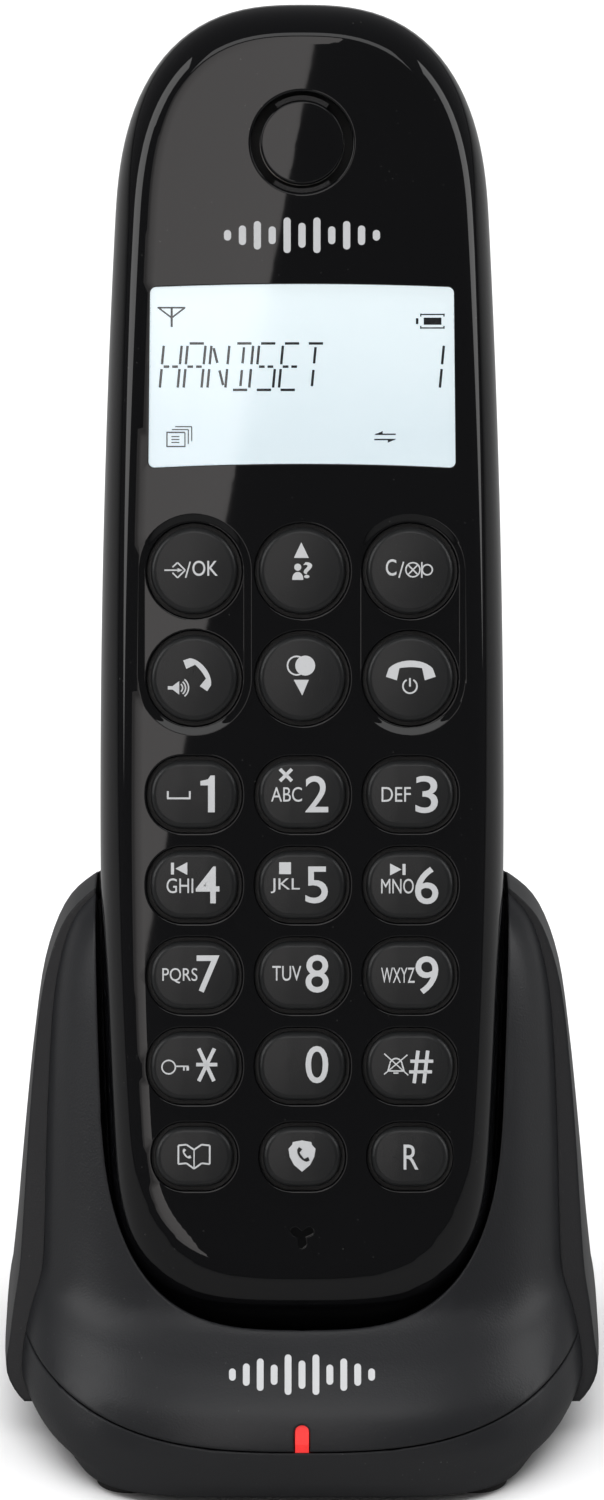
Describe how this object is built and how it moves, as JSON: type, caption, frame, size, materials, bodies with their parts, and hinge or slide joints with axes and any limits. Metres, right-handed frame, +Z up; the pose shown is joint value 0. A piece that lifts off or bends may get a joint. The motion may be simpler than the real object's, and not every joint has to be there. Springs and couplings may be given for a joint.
{
  "type": "cordless phone with charging base",
  "caption": "Cordless telephone handset with display and keypad, leaning back in a moulded desk charging base with rear sockets.",
  "frame": {"origin": "on the surface it stands on, under the middle of the whole object", "axes": "+Z up, the keypad faces -Y, +X is the right-hand side of the keypad"},
  "size_m": [0.0712, 0.091, 0.1617],
  "materials": {
    "gloss_black": "high-gloss black moulding",
    "satin_black": "satin black moulding with a fine grain",
    "display_lens": "clear tinted display lens, gloss",
    "lcd_face": "pale blue-white lit display",
    "white_plastic": "white diffuser plastic",
    "foam": "dark foam",
    "steel": "plated steel",
    "silicone": "grey silicone",
    "circuit_board": "green solder mask",
    "cell_sleeve": "printed cell sleeve",
    "gold_plate": "gold-plated contact",
    "key_grey": "satin dark grey keycap, pale printed legend",
    "base_charcoal": "fine-grained satin charcoal moulding",
    "red_light": "red light guide",
    "socket_black": "black socket moulding",
    "black_rubber": "soft black rubber"
  },
  "bodies": {
    "base": {"base_front_shell": "base_charcoal", "base_rear_shell": "base_charcoal", "base_bottom_tray": "base_charcoal", "status_light": "red_light", "status_led": "white_plastic", "base_board": "circuit_board", "base_radio_can": "steel", "line_jack": "socket_black", "power_jack": "socket_black", "page_switch": "steel", "base_screws": "steel", "rubber_feet": "black_rubber"},
    "handset": {"front_case": "gloss_black", "rear_case": "satin_black", "display_window": "display_lens", "lcd_panel": "lcd_face", "lcd_backlight": "white_plastic", "earpiece_insert": "satin_black", "earpiece_gasket": "foam", "earpiece_speaker": "steel", "microphone": "black_rubber", "handset_board": "circuit_board", "handset_radio_can": "steel", "keypad_mat": "silicone", "key_domes": "steel", "ringer_speaker": "steel", "battery_cell_left": "cell_sleeve", "battery_cell_right": "cell_sleeve", "battery_springs": "steel", "battery_plates": "steel", "charge_pads": "gold_plate", "handset_screws": "steel"},
    "battery_door": {"battery_door": "satin_black"},
    "page_button": {"page_button": "key_grey"},
    "charge_contact_left": {"charge_contact_left": "gold_plate"},
    "charge_contact_right": {"charge_contact_right": "gold_plate"},
    "key_menu_ok": {"key_menu_ok": "key_grey"},
    "key_up": {"key_up": "key_grey"},
    "key_clear_mute": {"key_clear_mute": "key_grey"},
    "key_talk": {"key_talk": "key_grey"},
    "key_down": {"key_down": "key_grey"},
    "key_end_power": {"key_end_power": "key_grey"},
    "key_1": {"key_1": "key_grey"},
    "key_2": {"key_2": "key_grey"},
    "key_3": {"key_3": "key_grey"},
    "key_4": {"key_4": "key_grey"},
    "key_5": {"key_5": "key_grey"},
    "key_6": {"key_6": "key_grey"},
    "key_7": {"key_7": "key_grey"},
    "key_8": {"key_8": "key_grey"},
    "key_9": {"key_9": "key_grey"},
    "key_star": {"key_star": "key_grey"},
    "key_0": {"key_0": "key_grey"},
    "key_hash": {"key_hash": "key_grey"},
    "key_phonebook": {"key_phonebook": "key_grey"},
    "key_call_block": {"key_call_block": "key_grey"},
    "key_recall": {"key_recall": "key_grey"}
  },
  "joints": [
    {"name": "handset_lift", "type": "slide", "parent": "base", "child": "handset", "axis": [0, 0.3746, 0.9272], "range_m": [0, 0.065]},
    {"name": "key_menu_ok_press", "type": "slide", "parent": "handset", "child": "key_menu_ok", "axis": [0, 0.9272, -0.3746], "range_m": [0, 0.0008], "stiffness_N_per_m": 800},
    {"name": "key_up_press", "type": "slide", "parent": "handset", "child": "key_up", "axis": [0, 0.9272, -0.3746], "range_m": [0, 0.0008], "stiffness_N_per_m": 800},
    {"name": "key_clear_mute_press", "type": "slide", "parent": "handset", "child": "key_clear_mute", "axis": [0, 0.9272, -0.3746], "range_m": [0, 0.0008], "stiffness_N_per_m": 800},
    {"name": "key_talk_press", "type": "slide", "parent": "handset", "child": "key_talk", "axis": [0, 0.9272, -0.3746], "range_m": [0, 0.0008], "stiffness_N_per_m": 800},
    {"name": "key_down_press", "type": "slide", "parent": "handset", "child": "key_down", "axis": [0, 0.9272, -0.3746], "range_m": [0, 0.0008], "stiffness_N_per_m": 800},
    {"name": "key_end_power_press", "type": "slide", "parent": "handset", "child": "key_end_power", "axis": [0, 0.9272, -0.3746], "range_m": [0, 0.0008], "stiffness_N_per_m": 800},
    {"name": "key_1_press", "type": "slide", "parent": "handset", "child": "key_1", "axis": [0, 0.9272, -0.3746], "range_m": [0, 0.0008], "stiffness_N_per_m": 800},
    {"name": "key_2_press", "type": "slide", "parent": "handset", "child": "key_2", "axis": [0, 0.9272, -0.3746], "range_m": [0, 0.0008], "stiffness_N_per_m": 800},
    {"name": "key_3_press", "type": "slide", "parent": "handset", "child": "key_3", "axis": [0, 0.9272, -0.3746], "range_m": [0, 0.0008], "stiffness_N_per_m": 800},
    {"name": "key_4_press", "type": "slide", "parent": "handset", "child": "key_4", "axis": [0, 0.9272, -0.3746], "range_m": [0, 0.0008], "stiffness_N_per_m": 800},
    {"name": "key_5_press", "type": "slide", "parent": "handset", "child": "key_5", "axis": [0, 0.9272, -0.3746], "range_m": [0, 0.0008], "stiffness_N_per_m": 800},
    {"name": "key_6_press", "type": "slide", "parent": "handset", "child": "key_6", "axis": [0, 0.9272, -0.3746], "range_m": [0, 0.0008], "stiffness_N_per_m": 800},
    {"name": "key_7_press", "type": "slide", "parent": "handset", "child": "key_7", "axis": [0, 0.9272, -0.3746], "range_m": [0, 0.0008], "stiffness_N_per_m": 800},
    {"name": "key_8_press", "type": "slide", "parent": "handset", "child": "key_8", "axis": [0, 0.9272, -0.3746], "range_m": [0, 0.0008], "stiffness_N_per_m": 800},
    {"name": "key_9_press", "type": "slide", "parent": "handset", "child": "key_9", "axis": [0, 0.9272, -0.3746], "range_m": [0, 0.0008], "stiffness_N_per_m": 800},
    {"name": "key_star_press", "type": "slide", "parent": "handset", "child": "key_star", "axis": [0, 0.9272, -0.3746], "range_m": [0, 0.0008], "stiffness_N_per_m": 800},
    {"name": "key_0_press", "type": "slide", "parent": "handset", "child": "key_0", "axis": [0, 0.9272, -0.3746], "range_m": [0, 0.0008], "stiffness_N_per_m": 800},
    {"name": "key_hash_press", "type": "slide", "parent": "handset", "child": "key_hash", "axis": [0, 0.9272, -0.3746], "range_m": [0, 0.0008], "stiffness_N_per_m": 800},
    {"name": "key_phonebook_press", "type": "slide", "parent": "handset", "child": "key_phonebook", "axis": [0, 0.9272, -0.3746], "range_m": [0, 0.0008], "stiffness_N_per_m": 800},
    {"name": "key_call_block_press", "type": "slide", "parent": "handset", "child": "key_call_block", "axis": [0, 0.9272, -0.3746], "range_m": [0, 0.0008], "stiffness_N_per_m": 800},
    {"name": "key_recall_press", "type": "slide", "parent": "handset", "child": "key_recall", "axis": [0, 0.9272, -0.3746], "range_m": [0, 0.0008], "stiffness_N_per_m": 800},
    {"name": "battery_door_slide", "type": "slide", "parent": "handset", "child": "battery_door", "axis": [0, -0.3746, -0.9272], "range_m": [0, 0.008]},
    {"name": "page_button_press", "type": "slide", "parent": "base", "child": "page_button", "axis": [0, -1, 0], "range_m": [0, 0.0007], "stiffness_N_per_m": 800},
    {"name": "charge_contact_left_give", "type": "slide", "parent": "base", "child": "charge_contact_left", "axis": [0, -0.3746, -0.9272], "range_m": [0, 0.0006], "stiffness_N_per_m": 400},
    {"name": "charge_contact_right_give", "type": "slide", "parent": "base", "child": "charge_contact_right", "axis": [0, -0.3746, -0.9272], "range_m": [0, 0.0006], "stiffness_N_per_m": 400}
  ]
}
